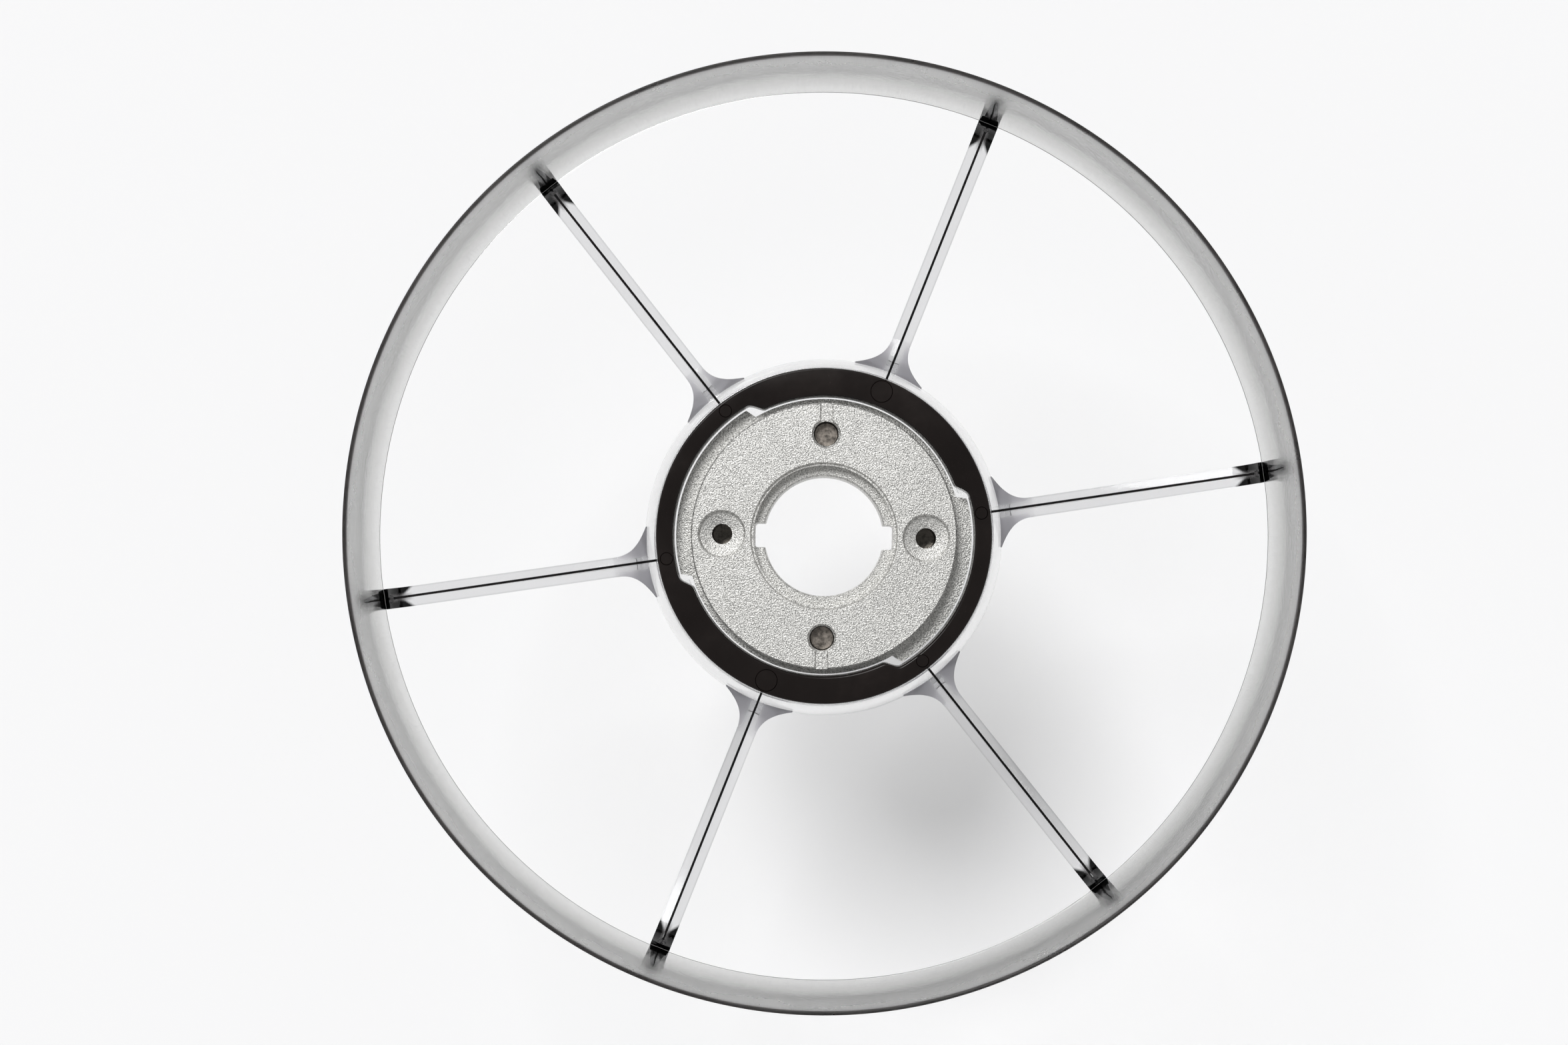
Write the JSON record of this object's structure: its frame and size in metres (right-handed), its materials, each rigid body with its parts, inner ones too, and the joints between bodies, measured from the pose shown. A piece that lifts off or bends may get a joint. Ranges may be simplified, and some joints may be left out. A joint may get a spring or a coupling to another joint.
{
  "type": "ship steering wheel",
  "caption": "Clear smoke-tinted helm wheel with a deep band rim, slim T-section spokes and a hub that twists on and off a die-cast bayonet plate with a keyed bore.",
  "frame": {"origin": "centre of the overall box at its base: on the wheel's axis, in the plane of the hub shell's open end", "axes": "+Z along the wheel's axis, from the open end of the hub to the helmsman's side; +X and -X through the two keyways and drilled holes of the hub plate"},
  "size_m": [0.35, 0.35, 0.0735],
  "materials": {
    "smoke_clear": "smoke-tinted clear polycarbonate, polished",
    "black_gloss": "deep warm black, glossy",
    "die_cast": "bead-blasted satin die casting",
    "taupe_disc": "dull taupe plated disc"
  },
  "bodies": {
    "plate": {"hub_plate": "die_cast", "disc_front": "taupe_disc", "disc_back": "taupe_disc"},
    "wheel": {"rim_hoop": "smoke_clear", "hub_shell": "smoke_clear", "hub_ring": "black_gloss", "spoke_1": "smoke_clear", "spoke_2": "smoke_clear", "spoke_3": "smoke_clear", "spoke_4": "smoke_clear", "spoke_5": "smoke_clear", "spoke_6": "smoke_clear", "rim_strap_1": "smoke_clear", "rim_strap_2": "smoke_clear", "rim_strap_3": "smoke_clear", "rim_strap_4": "smoke_clear", "rim_strap_5": "smoke_clear", "rim_strap_6": "smoke_clear", "root_pin_1": "black_gloss", "root_pin_2": "black_gloss", "root_pin_3": "black_gloss", "root_pin_4": "black_gloss", "root_pin_5": "black_gloss", "root_pin_6": "black_gloss"}
  },
  "joints": [
    {"name": "bayonet_twist", "type": "hinge", "parent": "plate", "child": "wheel", "pos_m": [0, 0, 0.0247], "axis": [0, 0, 1], "range_deg": [0, 90]}
  ]
}
